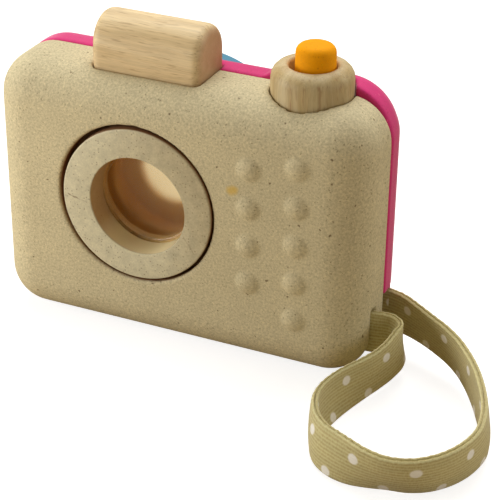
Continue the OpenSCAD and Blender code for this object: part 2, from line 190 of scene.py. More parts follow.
class ToyCameraSizes(bpy.types.PropertyGroup):
    """Sizes of the worn edges and of the turned and sewn pieces."""

    shell_grid: length("Shell grid", "Mesh step of the moulded halves", 0.64)
    shell_wear: number("Shell wear", "Smoothing passes over the halves", 3)
    dome_wear: number("Dome wear", "Smoothing passes over the domes", 4)
    block_grid: length("Block grid", "Mesh step of the viewfinder block", 0.36)
    block_wear: number("Block wear", "Smoothing passes over the block", 5)
    end_depth: length("End depth", "Depth of the darker end grain of the block", 1.5)
    turning_steps: number("Turning steps", "Sides of a turned piece", 144)
    arc_steps: number("Arc steps", "Steps of each rounded corner", 5)
    worn_edge: length("Worn edge", "Rounding of the hidden edges of turned pieces", 0.3)

    ring_radius: length("Ring radius", "Outer radius of the lens ring's face", 25.9)
    ring_bore: length("Ring bore", "Inner radius of the lens ring's face", 16.6)
    ring_edge: length("Ring edge", "Rounding of the ring's outer edge", 0.5)
    ring_bore_edge: length("Bore edge", "Rounding of the ring's inner edge", 0.3)
    ring_shift: length("Ring shift", "How far the loose ring's face sits to the right", 0.65)
    ring_lift: length("Ring lift", "How far the loose ring's face sits up", 0.3)
    bore_shift: length("Bore shift", "How far the ring's bore sits to the right", 0.95)
    ring_oval: length("Ring oval", "How far the ring has shrunk out of round", 0.2)
    recess_radius: length("Recess radius", "Radius of the recess round the ring", 27)
    flange_front: length("Flange front", "Distance from the ring's front to its flange", 6.9)
    flange_back: length("Flange back", "Distance from the ring's front to the flange's back", 9.9)
    hub_radius: length("Hub radius", "Outer radius of the ring's hub", 22)
    seat_radius: length("Seat radius", "Radius of the lens seat", 19.4)
    bead_radius: length("Bead radius", "Radius of the bead on the lens's front", 15.7)
    bead_width: length("Bead width", "Half width of the bead", 0.25)
    bead_height: length("Bead height", "Height of the bead over the lens", 0.15)
    facet_base: length("Facet base", "Corner radius of the facets' base", 16)
    facet_top: length("Facet top", "Corner radius of the facets' flat top", 12.5)
    facet_height: length("Facet height", "Height of the facets", 0.4)
    facet_edge: length("Facet edge", "Polished rounding between facets", 0.15)

    collar_edge: length("Collar edge", "Rounding of the collar's outer top edge", 4.2)
    collar_hole: length("Collar hole", "Radius of the hole in the collar", 7.4)
    collar_lip: length("Collar lip", "Rounding of the collar's hole", 1.05)
    counterbore: length("Counterbore", "Radius of the collar's counterbore", 9.6)
    counterbore_depth: length("Counterbore depth", "Depth of the counterbore", 15)
    button_radius: length("Button radius", "Radius of the button's peg", 6.4)
    button_edge: length("Button edge", "Rounding of the button's top", 2.5)
    button_taper: length("Button taper", "How much narrower the button is at its top", 0.25)
    button_flange_t: length("Button flange", "Thickness of the button's flange", 3)
    pilot_radius: length("Pilot radius", "Radius of the spring's pilot", 3.6)
    pilot_height: length("Pilot height", "Height of the spring's pilot", 1.5)
    coil_radius: length("Coil radius", "Middle radius of the spring", 5)
    wire: length("Wire", "Diameter of the spring's wire", 0.9)
    coil_turns: number("Coil turns", "Turns of the spring", 5)

    spigot_radius: length("Spigot radius", "Radius of the eyepiece's spigot", 22)
    spigot_length: length("Spigot length", "Length of the eyepiece's spigot", 8)
    peep_radius: length("Peep radius", "Radius of the peep hole", 11.4)
    peep_length: length("Peep length", "Straight length of the peep hole", 2)
    eyecup_wall: length("Eyecup wall", "Wall of the eyecup at its rim", 4)
    eyecup_edge: length("Eyecup edge", "Rounding of the eyecup's outer rim", 3)
    eyecup_lip: length("Eyecup lip", "Rounding of the eyecup's inner rim", 0.9)

    tape_width: length("Tape width", "Width of the strap's tape", 14.8)
    tape_thickness: length("Tape thickness", "Thickness of the folded tape", 2.2)
    tape_bow: length("Tape bow", "How far the free tape bows outwards across its width", 0.9)
    rib_pitch: length("Rib pitch", "Distance between the tape's ribs", 1.1)
    rib_depth: length("Rib depth", "Depth of the grooves between the ribs", 0.05)
    dot_size: length("Dot size", "Diameter of the woven dots", 3.3)
    dot_pitch: length("Dot pitch", "Distance between the dots of a row", 17.3)
    low_row: length("Low row", "Distance from the fold to the lower row of dots", 2.6)
    high_row: length("High row", "Distance from the fold to the upper row of dots", 11.2)
    lip_depth: length("Lip depth", "Depth of the groove between the tape's two edges", 1.3)
    lip_wander: length("Lip wander", "Unevenness of the tape's edges", 0.16)
    stitch_length: length("Stitch length", "Length of one stitch", 1.5)
    stitch_pitch: length("Stitch pitch", "Distance between stitches", 2.3)
    stitch_radius: length("Stitch radius", "Radius of the sewing thread", 0.26)
    strap_steps: number("Strap steps", "Steps between two route points", 10)


class ToyCameraColours(bpy.types.PropertyGroup):
    """Colours of the woods, dyes and cloth."""

    natural: colour("Natural", "Pressed wood of the front half", 204, 192, 155)
    natural_fleck: colour("Natural fleck", "Dark crumbs in the pressed wood", 96, 74, 48)
    natural_chip: colour("Natural chip", "Pale crumbs in the pressed wood", 226, 209, 170)
    raw_inside: colour("Raw inside", "Bare wood inside the body", 246, 196, 104)
    stain: colour("Stain", "Small yellow stain on the front", 214, 176, 66)
    pink: colour("Pink", "Dye of the back half", 214, 52, 122)
    pink_fleck: colour("Pink fleck", "Dark crumbs in the dyed wood", 176, 34, 80)
    pink_chip: colour("Pink chip", "Pale crumbs in the dyed wood", 238, 110, 150)
    block_light: colour("Block light", "Early wood of the viewfinder block", 236, 213, 167)
    block_dark: colour("Block dark", "Late wood of the viewfinder block", 203, 175, 126)
    block_pore: colour("Block pore", "Pores of the viewfinder block", 150, 110, 68)
    block_end: colour("Block end", "End grain of the viewfinder block", 186, 146, 112)
    collar_light: colour("Collar light", "Early wood of the collar", 200, 182, 138)
    collar_dark: colour("Collar dark", "Late wood of the collar", 178, 151, 98)
    collar_pore: colour("Collar pore", "Pores of the collar", 150, 108, 70)
    ring_light: colour("Ring light", "Pale end grain of the lens ring", 208, 200, 168)
    ring_shade: colour("Ring shade", "Darker end grain of the lens ring", 186, 173, 138)
    ring_pore: colour("Ring pore", "Pores of the end grain", 128, 106, 80)
    # Painted shade: dark brown in the gap round the lens ring and on the recess wall, over some scorch of the
    # wood
    burn_and_gap_shade: colour("Burnt", "Burnt brown in the gap round the ring", 130, 80, 40)
    # Painted shade: brown down the ring's bore
    bore: colour("Bore", "Brown wall of the ring's bore", 182, 130, 58)
    # Painted light: pale on the lit bottom of the ring's bore
    bore_lit_bottom: colour("Bore pale", "Pale side of the ring's bore", 255, 242, 190)
    orange: colour("Orange", "Dye of the button", 250, 166, 0)
    orange_fleck: colour("Orange fleck", "Dark crumbs in the orange wood", 214, 122, 0)
    orange_chip: colour("Orange chip", "Pale crumbs in the orange wood", 255, 188, 10)
    blue: colour("Blue", "Dye of the eyepiece", 78, 140, 168)
    blue_fleck: colour("Blue fleck", "Dark crumbs in the blue wood", 46, 98, 128)
    blue_chip: colour("Blue chip", "Pale crumbs in the blue wood", 120, 172, 192)
    dowel_light: colour("Dowel light", "Early wood of the dowels", 230, 194, 124)
    dowel_dark: colour("Dowel dark", "Late wood of the dowels", 212, 172, 104)
    tape: colour("Tape", "Cotton of the strap", 211, 204, 150)
    # Also painted shade: the grooves between the ribs take this darker tone
    tape_shade: colour("Tape shade", "Grooves of the strap", 184, 166, 112)
    dot: colour("Dot", "Woven dots of the strap", 255, 254, 248)
    thread: colour("Thread", "Sewing thread of the strap", 206, 186, 130)
    steel: colour("Steel", "Wire of the spring", 190, 190, 196)
    glass: colour("Glass", "Clear lens", 250, 244, 230)


class ToyCameraStage(bpy.types.PropertyGroup):
    """Camera, floor and light."""

    camera_place: place("Camera place", "Where the view is taken from", 209.36, -435.11, 292.88)
    camera_turn: bearing("Camera turn", "Turn about the upright axis", 23.568)
    camera_tilt: bearing("Camera tilt", "How far the view looks down", 28.854)
    camera_roll: bearing("Camera roll", "Roll about the line of sight", 0.766)
    focal_length: FloatProperty(
        name="Focal length", description="Focal length on a 36 mm wide sensor",
        default=121.3, unit="CAMERA")
    key_place: place("Key place", "Middle of the soft light overhead", -100, 270, 650)
    key_size: length("Key size", "Side of the soft light overhead", 600)
    key_power: lamp_power("Key power", "Soft light overhead", 5.1)
    side_place: place("Side place", "Middle of the soft light at the left", -300, -220, 70)
    side_size: length("Side size", "Side of the soft light at the left", 300)
    side_power: lamp_power("Side power", "Soft light at the left", 1.5)
    fill_place: place("Fill place", "Middle of the weak right light", 700, -100, 150)
    fill_size: length("Fill size", "Side of the weak right light", 400)
    fill_power: lamp_power("Fill power", "Weak right light", 1.15)
    back_place: place("Back place", "Middle of the soft light behind", 420, 420, 300)
    back_size: length("Back size", "Side of the soft light behind", 300)
    back_power: lamp_power("Back power", "Soft light behind", 0.4)
    aim: place("Aim", "Point that the lights look at", 0, 0, 45)
    sky: share("Sky", "Even light from all round", 0.17)
    sky_tone: colour("Sky tone", "Colour of the even light", 255, 228, 182)
    floor_radius: length("Floor radius", "Radius of the pale floor", 4000)
    floor_far: colour("Floor far", "Floor behind the object, seen through the lens", 228, 207, 166)
    floor_tone: colour("Floor tone", "Light that the floor gives back to the object", 182, 163, 130)


class ToyCamera(bpy.types.PropertyGroup):
    """Everything that a user would change."""

    sizes: PointerProperty(type=ToyCameraSizes)
    colours: PointerProperty(type=ToyCameraColours)
    stage: PointerProperty(type=ToyCameraStage)


def put(tree, kind, inputs=None, **settings):
    """A new shader node with its settings, and its inputs as values or links."""
    made = tree.nodes.new("ShaderNode" + kind)
    for key, value in settings.items():
        setattr(made, key, value)
    for key, value in (inputs or {}).items():
        feed(tree, made.inputs[key], value)
    return made


def feed(tree, socket, value):
    """Links a socket to an output, or sets its value."""
    if isinstance(value, bpy.types.NodeSocket):
        tree.links.new(value, socket)
    elif socket.type == "RGBA" and len(value) == 3:
        socket.default_value = (*value, 1)
    else:
        socket.default_value = value


def calc(tree, operation, *values):
    """Result of one math node."""
    return put(tree, "Math", dict(enumerate(values)), operation=operation).outputs[0]


def times(tree, first, second):
    """Product of two values."""
    return calc(tree, "MULTIPLY", first, second)


def vector_calc(tree, operation, *values):
    """Vector that one vector math node gives."""
    return put(tree, "VectorMath", dict(enumerate(values)), operation=operation).outputs[0]


def measured(tree, operation, *values):
    """Number that one vector math node gives, such as a length or a distance."""
    return put(tree, "VectorMath", dict(enumerate(values)), operation=operation).outputs["Value"]


def fade(tree, value, start, end):
    """Straight step from 0 at start to 1 at end."""
    inputs = {"Value": value, "From Min": start, "From Max": end}
    return put(tree, "MapRange", inputs).outputs["Result"]


def ramp(tree, value, start, end, low=0.0, high=1.0):
    """Smooth step from low at start to high at end."""
    inputs = {"Value": value, "From Min": start, "From Max": end, "To Min": low, "To Max": high}
    return put(tree, "MapRange", inputs, interpolation_type="SMOOTHSTEP").outputs["Result"]


def mixed(tree, factor, first, second):
    """Mix of two colours."""
    return put(tree, "Mix", {0: factor, 6: first, 7: second}, data_type="RGBA").outputs[2]


def scaled(tree, vector, factor):
    """A vector or colour times one number."""
    return put(tree, "VectorMath", {0: vector, "Scale": factor}, operation="SCALE").outputs[0]


def stretched(tree, vector, *factors):
    """A vector times one number for each axis."""
    return vector_calc(tree, "MULTIPLY", vector, factors)


def moved(tree, vector, shift):
    """A vector plus another."""
    return vector_calc(tree, "ADD", vector, shift)


def axis_distance(tree, vector, middle):
    """Distance from the axis along Y through a point."""
    away = vector_calc(tree, "SUBTRACT", vector, middle)
    return measured(tree, "LENGTH", stretched(tree, away, 1, 0, 1))


def noise(tree, vector, scale=1.0, detail=2.0, roughness=0.5):
    """Soft noise around one half."""
    inputs = {"Vector": vector, "Scale": scale, "Detail": detail, "Roughness": roughness}
    return put(tree, "TexNoise", inputs).outputs[0]


def tinted(tree, base, value, amount):
    """A colour made lighter and darker by a noise around one half."""
    swing = calc(tree, "SUBTRACT", value, 0.5)
    return scaled(tree, base, calc(tree, "MULTIPLY_ADD", swing, times(tree, amount, 2), 1))


def crumbs(tree, vector, scale, size, portion):
    """Mask of scattered crumbs of different sizes, on a portion of the cells of a given scale."""
    cells = put(tree, "TexVoronoi", {"Vector": vector, "Scale": scale})
    parts = put(tree, "SeparateColor", {0: cells.outputs["Color"]})
    girth = calc(tree, "MULTIPLY_ADD", parts.outputs[1], 1 - SMALLEST_CRUMB, SMALLEST_CRUMB)
    reach = times(tree, girth, size)
    body = fade(tree, cells.outputs["Distance"], reach, times(tree, reach, CRUMB_CORE))
    chosen = calc(tree, "LESS_THAN", parts.outputs[0], portion)
    return times(tree, body, chosen)


def new_group(name, inputs, outputs):
    """An empty shader group with named sockets: its tree, its inputs and its outputs."""
    group = bpy.data.node_groups.new(name, "ShaderNodeTree")
    kinds = {"vector": "NodeSocketVector", "colour": "NodeSocketColor", "value": "NodeSocketFloat"}
    for label, kind in inputs.items():
        group.interface.new_socket(label, in_out="INPUT", socket_type=kinds[kind])
    for label, kind in outputs.items():
        group.interface.new_socket(label, in_out="OUTPUT", socket_type=kinds[kind])
    given = group.nodes.new("NodeGroupInput").outputs
    result = group.nodes.new("NodeGroupOutput").inputs
    return group, given, result


FINISH = {"Color": "colour", "Roughness": "value", "Height": "value"}


def pressed_wood():
    """Pressed sawdust: broad clouds, fine crumbs, dark flecks and pale chips."""
    group, given, result = new_group("Pressed wood", {
        "Vector": "vector", "Base": "colour", "Fleck": "colour", "Chip": "colour",
        "Cloud": "value", "Grain": "value", "Flecks": "value"}, FINISH)
    mm = scaled(group, given["Vector"], 1 / MM)
    cloud = noise(group, mm, scale=0.045, detail=3.0)
    grain = noise(group, mm, scale=1.4, detail=3.0, roughness=0.72)
    fine = noise(group, mm, scale=2.4, roughness=0.6)
    bend = put(group, "TexNoise", {"Vector": mm, "Scale": 0.7, "Detail": 1.0}).outputs["Color"]
    bent = moved(group, mm, scaled(group, bend, 1.3))
    flecks = crumbs(group, bent, scale=0.3, size=0.17, portion=given["Flecks"])
    specks = crumbs(group, bent, scale=1.1, size=0.38, portion=0.42)
    chips = crumbs(group, moved(group, bent, CHIP_SHIFT), scale=0.6, size=0.32, portion=0.3)
    base = tinted(group, given["Base"], cloud, given["Cloud"])
    base = tinted(group, base, grain, given["Grain"])
    for mask, amount, tone in ((chips, 0.4, "Chip"), (specks, 0.5, "Fleck"), (flecks, 0.8, "Fleck")):
        base = mixed(group, times(group, mask, amount), base, given[tone])
    feed(group, result["Color"], base)
    feed(group, result["Roughness"], ramp(group, grain, 0.2, 0.8, low=0.68, high=0.86))
    relief = calc(group, "MULTIPLY_ADD", grain, 0.7, times(group, fine, 0.4))
    feed(group, result["Height"], calc(group, "SUBTRACT", relief, times(group, flecks, 0.5)))
    return group


def long_grain():
    """Solid wood with its fibres along the vector's X: bands, fine fibres and short pores."""
    group, given, result = new_group("Long grain", {
        "Vector": "vector", "Light": "colour", "Dark": "colour", "Pore": "colour",
        "Bands": "value", "Pores": "value"}, FINISH)
    mm = scaled(group, given["Vector"], 1 / MM)
    sway = noise(group, stretched(group, mm, 0.03, 0.05, 0.05))
    lean = put(group, "CombineXYZ", {1: times(group, sway, 5), 2: times(group, sway, 3)})
    grown = moved(group, mm, lean.outputs[0])
    bands = noise(group, stretched(group, grown, 0.012, 0.2, 0.2), detail=3.0, roughness=0.55)
    fibres = noise(group, stretched(group, grown, 0.09, 1.7, 1.7), detail=3.0, roughness=0.75)
    pores = ramp(group, noise(group, stretched(group, grown, 0.16, 2.2, 2.2), detail=1.0), 0.56, 0.74)
    share_dark = times(group, ramp(group, bands, 0.34, 0.68), given["Bands"])
    base = mixed(group, share_dark, given["Light"], given["Dark"])
    base = tinted(group, base, fibres, amount=0.3)
    base = mixed(group, times(group, pores, given["Pores"]), base, given["Pore"])
    feed(group, result["Color"], base)
    feed(group, result["Roughness"], ramp(group, fibres, 0.2, 0.8, low=0.48, high=0.66))
    feed(group, result["Height"], calc(group, "SUBTRACT", fibres, times(group, pores, 0.6)))
    return group


def end_grain():
    """Wood cut across its fibres: darker towards a far heart, faint growth arcs, and fine pores."""
    group, given, result = new_group("End grain", {
        "Vector": "vector", "Light": "colour", "Shade": "colour", "Pore": "colour",
        "Centre": "vector"}, FINISH)
    mm = scaled(group, given["Vector"], 1 / MM)
    tone = noise(group, mm, scale=0.06, detail=3.0)
    mottle = noise(group, mm, scale=0.3, detail=4.0, roughness=0.65)
    grain = noise(group, mm, scale=1.4, detail=3.0, roughness=0.7)
    away = vector_calc(group, "SUBTRACT", given["Vector"], given["Centre"])
    reach = measured(group, "LENGTH", stretched(group, away, 1 / MM, 0, 1 / MM))
    wavy = calc(group, "MULTIPLY_ADD", tone, 9, reach)
    arcs = noise(group, put(group, "CombineXYZ", {0: wavy}).outputs[0], scale=0.32)
    pores = crumbs(group, mm, scale=1.2, size=0.38, portion=0.4)
    heart = calc(group, "MULTIPLY_ADD", arcs, 0.4, ramp(group, wavy, 86, 46, low=-0.2, high=0.8))
    base = mixed(group, heart, given["Light"], given["Shade"])
    base = tinted(group, base, mottle, amount=0.3)
    base = tinted(group, base, grain, amount=0.3)
    base = mixed(group, times(group, pores, 0.6), base, given["Pore"])
    feed(group, result["Color"], base)
    feed(group, result["Roughness"], ramp(group, grain, 0.2, 0.8, low=0.5, high=0.68))
    feed(group, result["Height"], calc(group, "SUBTRACT", grain, pores))
    return group


def line_mark():
    """Mask of one thin uneven line between two points, such as a hair crack or a dark streak."""
    group, given, result = new_group("Line mark", {
        "Vector": "vector", "Start": "vector", "End": "vector", "Width": "value"}, {"Mask": "value"})
    wander = put(group, "TexNoise", {"Vector": given["Vector"], "Scale": 300.0, "Detail": 2.0})
    shift = scaled(group, moved(group, wander.outputs["Color"], (-0.5, -0.5, -0.5)), 1.6 * MM)
    spot = moved(group, given["Vector"], shift)
    run = vector_calc(group, "SUBTRACT", given["End"], given["Start"])
    away = vector_calc(group, "SUBTRACT", spot, given["Start"])
    dot = measured(group, "DOT_PRODUCT", away, run)
    whole = measured(group, "DOT_PRODUCT", run, run)
    along = put(group, "Clamp", {0: calc(group, "DIVIDE", dot, whole)}).outputs[0]
    nearest = moved(group, given["Start"], scaled(group, run, along))
    gap = measured(group, "DISTANCE", spot, nearest)
    core = times(group, given["Width"], 0.3)
    feed(group, result["Mask"], fade(group, gap, given["Width"], core))
    return group


def woven_tape():
    """Ribbed cotton with two staggered rows of woven dots, along U, and across V from the fold."""
    group, given, result = new_group("Woven tape", {
        "Vector": "vector", "Tape": "colour", "Shade": "colour", "Dot": "colour",
        "Rib": "value", "Dot size": "value", "Dot pitch": "value", "Low row": "value", "High row": "value"},
        FINISH)
    parts = put(group, "SeparateXYZ", {0: given["Vector"]})
    along = parts.outputs[0]
    across = calc(group, "ABSOLUTE", parts.outputs[1])
    inside = calc(group, "LESS_THAN", parts.outputs[1], 0.0)
    mm = scaled(group, given["Vector"], 1 / MM)
    phase = times(group, calc(group, "DIVIDE", across, given["Rib"]), FULL_TURN)
    rib = calc(group, "MULTIPLY_ADD", calc(group, "COSINE", phase), 0.5, 0.5)
    yarn = noise(group, stretched(group, mm, 1.9, 0.9, 1), roughness=0.7)
    slub = noise(group, stretched(group, mm, 0.09, 0.5, 1))
    masks = []
    for row, start in (("Low row", 0.18), ("High row", 0.68)):
        step = calc(group, "DIVIDE", along, given["Dot pitch"])
        step = calc(group, "ADD", step, calc(group, "MULTIPLY_ADD", inside, 0.38, start))
        offset = calc(group, "SUBTRACT", calc(group, "FRACT", step), 0.5)
        beside = times(group, offset, given["Dot pitch"])
        above = calc(group, "SUBTRACT", across, given[row])
        gap = measured(group, "LENGTH", put(group, "CombineXYZ", {0: beside, 1: above}).outputs[0])
        soft = calc(group, "MULTIPLY_ADD", yarn, 0.4 * MM, calc(group, "SUBTRACT", gap, 0.2 * MM))
        outer, inner = (times(group, given["Dot size"], part) for part in (0.56, 0.4))
        masks.append(fade(group, soft, outer, inner))
    dots = calc(group, "MAXIMUM", *masks)
    # Painted shade: the grooves between the ribs lean towards the darker tone, on top of the yarn's own tone
    tone = calc(group, "MULTIPLY_ADD", yarn, 0.9, times(group, rib, 0.3))
    base = mixed(group, ramp(group, tone, 0.25, 0.85), given["Shade"], given["Tape"])
    base = tinted(group, base, slub, amount=0.12)
    base = mixed(group, times(group, dots, 0.9), base, given["Dot"])
    feed(group, result["Color"], base)
    feed(group, result["Roughness"], ramp(group, yarn, 0.2, 0.8, low=0.82, high=0.95))
    feed(group, result["Height"], calc(group, "MULTIPLY_ADD", dots, 0.3, calc(group, "ADD", yarn, rib)))
    return group


GROUP_MAKERS = {
    "Pressed wood": pressed_wood, "Long grain": long_grain, "End grain": end_grain,
    "Line mark": line_mark, "Woven tape": woven_tape,
}


def group_named(name):
    """A shared shader group, built when it is first asked for."""
    return bpy.data.node_groups.get(name) or GROUP_MAKERS[name]()


class Finish:
    """One Principled material whose colour, roughness and bump come from a shared group."""

    def __init__(self, name, group, values, bump, depth, turn="XYZ", source="Object"):
        self.material = bpy.data.materials.new(name)
        self.material.use_nodes = True
        self.tree = self.material.node_tree
        self.shader = self.tree.nodes["Principled BSDF"]
        self.vector = put(self.tree, "TexCoord").outputs[source]
        spot = self.vector
        if turn != "XYZ":
            parts = put(self.tree, "SeparateXYZ", {0: spot}).outputs
            spot = put(self.tree, "CombineXYZ", {i: parts[axis] for i, axis in enumerate(turn)}).outputs[0]
        made = self.add_group(group, {"Vector": spot, **values})
        self.colour = made.outputs["Color"]
        feed(self.tree, self.shader.inputs["Roughness"], made.outputs["Roughness"])
        relief = {"Height": made.outputs["Height"], "Strength": bump, "Distance": depth}
        feed(self.tree, self.shader.inputs["Normal"], put(self.tree, "Bump", relief).outputs[0])

    def add_group(self, name, values):
        """Places a shared group with its own values."""
        return put(self.tree, "Group", values, node_tree=group_named(name))

    def paint(self, mask, colour, amount):
        """Lays a colour over the finish where the mask is."""
        factor = times(self.tree, mask, amount)
        self.colour = mixed(self.tree, factor, self.colour, colour)

    def mark(self, start, end, width, colour, amount):
        """Draws one thin uneven line on the finish."""
        made = self.add_group(
            "Line mark", {"Vector": self.vector, "Start": start, "End": end, "Width": width})
        self.paint(made.outputs["Mask"], colour, amount)

    def done(self, **sockets):
        """Links the colour, sets plain sockets and gives the material."""
        feed(self.tree, self.shader.inputs["Base Color"], self.colour)
        for key, value in sockets.items():
            self.shader.inputs[key.replace("_", " ")].default_value = value
        return self.material


def dyed(name, base, fleck, chip, cloud=0.05, grain=0.1, flecks=0.1, bump=0.25):
    """A pressed wood finish in three tones."""
    values = {"Base": base, "Fleck": fleck, "Chip": chip, "Cloud": cloud, "Grain": grain, "Flecks": flecks}
    return Finish(name, "Pressed wood", values, bump, depth=0.2 * MM)


def solid_wood(name, light, dark, pore, turn, bands=0.8, pores=0.45):
    """A finish of solid wood, its fibres along the first axis of the turn."""
    values = {"Light": light, "Dark": dark, "Pore": pore, "Bands": bands, "Pores": pores}
    return Finish(name, "Long grain", values, bump=0.18, depth=0.15 * MM, turn=turn)


def bare_wood(colours):
    """The undyed wood inside the body and the eyepiece, made once."""
    made = bpy.data.materials.get("pressed_wood_inside")
    if made is None:
        finish = dyed("pressed_wood_inside", colours.raw_inside, colours.natural_fleck, colours.natural)
        made = finish.done(Specular_IOR_Level=0.2)
    return made


def rounded(corners, steps):
    """Points of a closed outline of (x, y, rounding), each rounded corner an arc."""
    points = []
    for i, (x, y, rounding) in enumerate(corners):
        corner = Vector((x, y))
        if not rounding:
            points.append(corner)
            continue
        back = (Vector(corners[i - 1][:2]) - corner).normalized()
        ahead = (Vector(corners[(i + 1) % len(corners)][:2]) - corner).normalized()
        half = back.angle(ahead) / 2
        reach = rounding / math.tan(half)
        for step in range(steps + 1):
            t = step / steps
            weights = (1 - t) ** 2, 2 * t * (1 - t) * math.sin(half), t ** 2
            ends = corner + back * reach, corner, corner + ahead * reach
            points.append(sum((p * w for p, w in zip(ends, weights)), Vector((0, 0))) / sum(weights))
    return points


def spin(bm, points, closed, middle, axis, steps):
    """Turns a row of points about an axis through a point, and welds the seam."""
    verts = [bm.verts.new(p) for p in points]
    edges = [bm.edges.new(pair) for pair in zip(verts, verts[1:] + verts[:1] if closed else verts[1:])]
    bmesh.ops.spin(bm, geom=verts + edges, cent=middle, axis=axis, angle=FULL_TURN, steps=steps)
    bmesh.ops.remove_doubles(bm, verts=bm.verts, dist=WELD)


def turned(corners, sizes, middle, axis):
    """Mesh of a closed outline of (radius, along, rounding) turned about an axis through a point."""
    bm = bmesh.new()
    side = axis.orthogonal().normalized()
    points = [middle + side * p.x + axis * p.y for p in rounded(corners, sizes.arc_steps)]
    spin(bm, points, True, middle, axis, sizes.turning_steps)
    loose = [f for f in bm.faces if f.calc_area() < SLIVER]
    bmesh.ops.delete(bm, geom=loose, context="FACES")
    wires = [e for e in bm.edges if not e.link_faces]
    bmesh.ops.delete(bm, geom=wires, context="EDGES")
    bmesh.ops.recalc_face_normals(bm, faces=bm.faces)
    return finished_mesh(bm)


def finished_mesh(bm, sharp=SHARP_ANGLE):
    """A smooth mesh with sharp edges kept, from an edit mesh."""
    mesh = bpy.data.meshes.new("piece")
    bm.to_mesh(mesh)
    bm.free()
    mesh.shade_smooth()
    mesh.set_sharp_from_angle(angle=sharp)
    return mesh


def worn_copy(node, grid, passes):
    """Mesh of a CAD node with an even grid; passes(point) says how often a point is worn smooth."""
    draft = bpy.data.objects.new("draft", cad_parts[node].data.copy())
    bpy.context.scene.collection.objects.link(draft)
    remesh = draft.modifiers.new("Even grid", "REMESH")
    remesh.mode = "VOXEL"
    remesh.voxel_size = grid
    remesh.adaptivity = 0
    depsgraph = bpy.context.evaluated_depsgraph_get()
    mesh = bpy.data.meshes.new_from_object(draft.evaluated_get(depsgraph))
    bpy.data.objects.remove(draft)
    if not mesh.polygons:
        raise RuntimeError(f"{node} came back empty from the even grid")
    bm = bmesh.new()
    bm.from_mesh(mesh)
    wear = [(v, passes(v.co)) for v in bm.verts]
    for step in range(max(count for v, count in wear)):
        verts = [v for v, count in wear if count > step]
        bmesh.ops.smooth_vert(
            bm, verts=verts, factor=0.5, use_axis_x=True, use_axis_y=True, use_axis_z=True)
    bm.to_mesh(mesh)
    bm.free()
    mesh.materials.clear()
    mesh.shade_smooth()
    return mesh


def skin(rings, looped):
    """Points and faces over a row of closed rings, joined end to end or capped."""
    count, sides = len(rings), len(rings[0])
    faces = []
    for i in range(count if looped else count - 1):
        a, b = i * sides, (i + 1) % count * sides
        for k in range(sides):
            n = (k + 1) % sides
            faces.append((a + k, a + n, b + n, b + k))
    if not looped:
        faces.append(tuple(reversed(range(sides))))
        faces.append(tuple(range((count - 1) * sides, count * sides)))
    return [p for ring in rings for p in ring], faces


def skinned_mesh(name, points, faces):
    """A smooth mesh of points and faces."""
    mesh = bpy.data.meshes.new(name)
    mesh.from_pydata(points, [], faces)
    mesh.shade_smooth()
    return mesh


def ring_angles(sides):
    """Angles of the corners of a ring."""
    return [FULL_TURN * k / sides for k in range(sides)]


def add_piece(name, mesh, body, slot, materials, *nodes):
    """A new piece that rides on a body, takes the given materials and stands for CAD nodes; its slot is not
    used.
    """
    piece = bpy.data.objects.new(name, mesh)
    bpy.context.scene.collection.objects.link(piece)
    for material in materials:
        mesh.materials.append(material)
    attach(piece, body)
    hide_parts(*nodes)
    return piece


def dress_node(node, material):
    """Gives a CAD node a better material."""
    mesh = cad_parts[node].data
    mesh.materials.clear()
    mesh.materials.append(material)


def middle_of(node):
    """Middle of a CAD node's box."""
    low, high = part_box(node)
    return (low + high) / 2


def foot_of(node):
    """Middle of the underside of a CAD node's box."""
    middle = middle_of(node)
    return Vector((middle.x, middle.y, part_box(node)[0].z))


def settings_of(context):
    """The sizes and the colours."""
    settings = context.scene.toy_camera
    return settings.sizes, settings.colours


